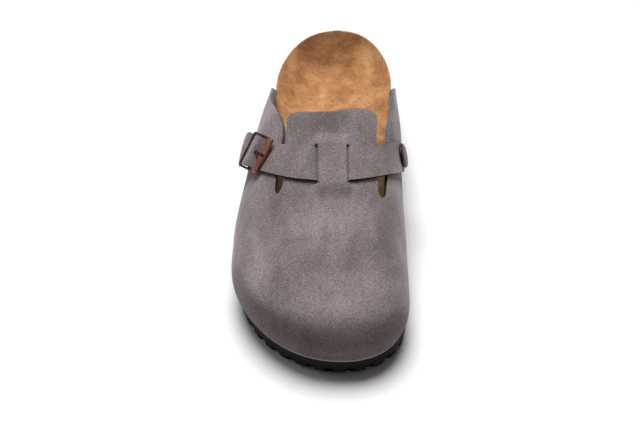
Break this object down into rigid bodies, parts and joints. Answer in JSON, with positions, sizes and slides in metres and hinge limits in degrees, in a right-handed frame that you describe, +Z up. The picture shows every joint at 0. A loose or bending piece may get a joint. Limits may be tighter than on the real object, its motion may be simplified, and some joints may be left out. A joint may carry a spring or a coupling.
{
  "type": "suede clog",
  "caption": "Right closed-toe suede clog with a buckled instep strap under a bridge, a contoured cork footbed and a lugged foam sole.",
  "frame": {"origin": "on the floor under the middle of the shoe's box", "axes": "+Z up, toe towards -Y, heel towards +Y, inner (medial) side towards +X"},
  "size_m": [0.11, 0.2788, 0.0851],
  "materials": {
    "outsole": "matte foam rubber",
    "cork": "sealed cork grain",
    "lining": "napped suede",
    "suede": "napped suede",
    "gunmetal": "dark polished metal",
    "copper": "antiqued copper"
  },
  "bodies": {
    "root": {"outsole": "outsole", "footbed": "cork", "insole": "lining", "upper": "suede", "strap": "suede", "strap_stud": "gunmetal", "buckle_frame": "copper", "buckle_prong": "copper", "buckle_tab": "suede"}
  },
  "joints": []
}
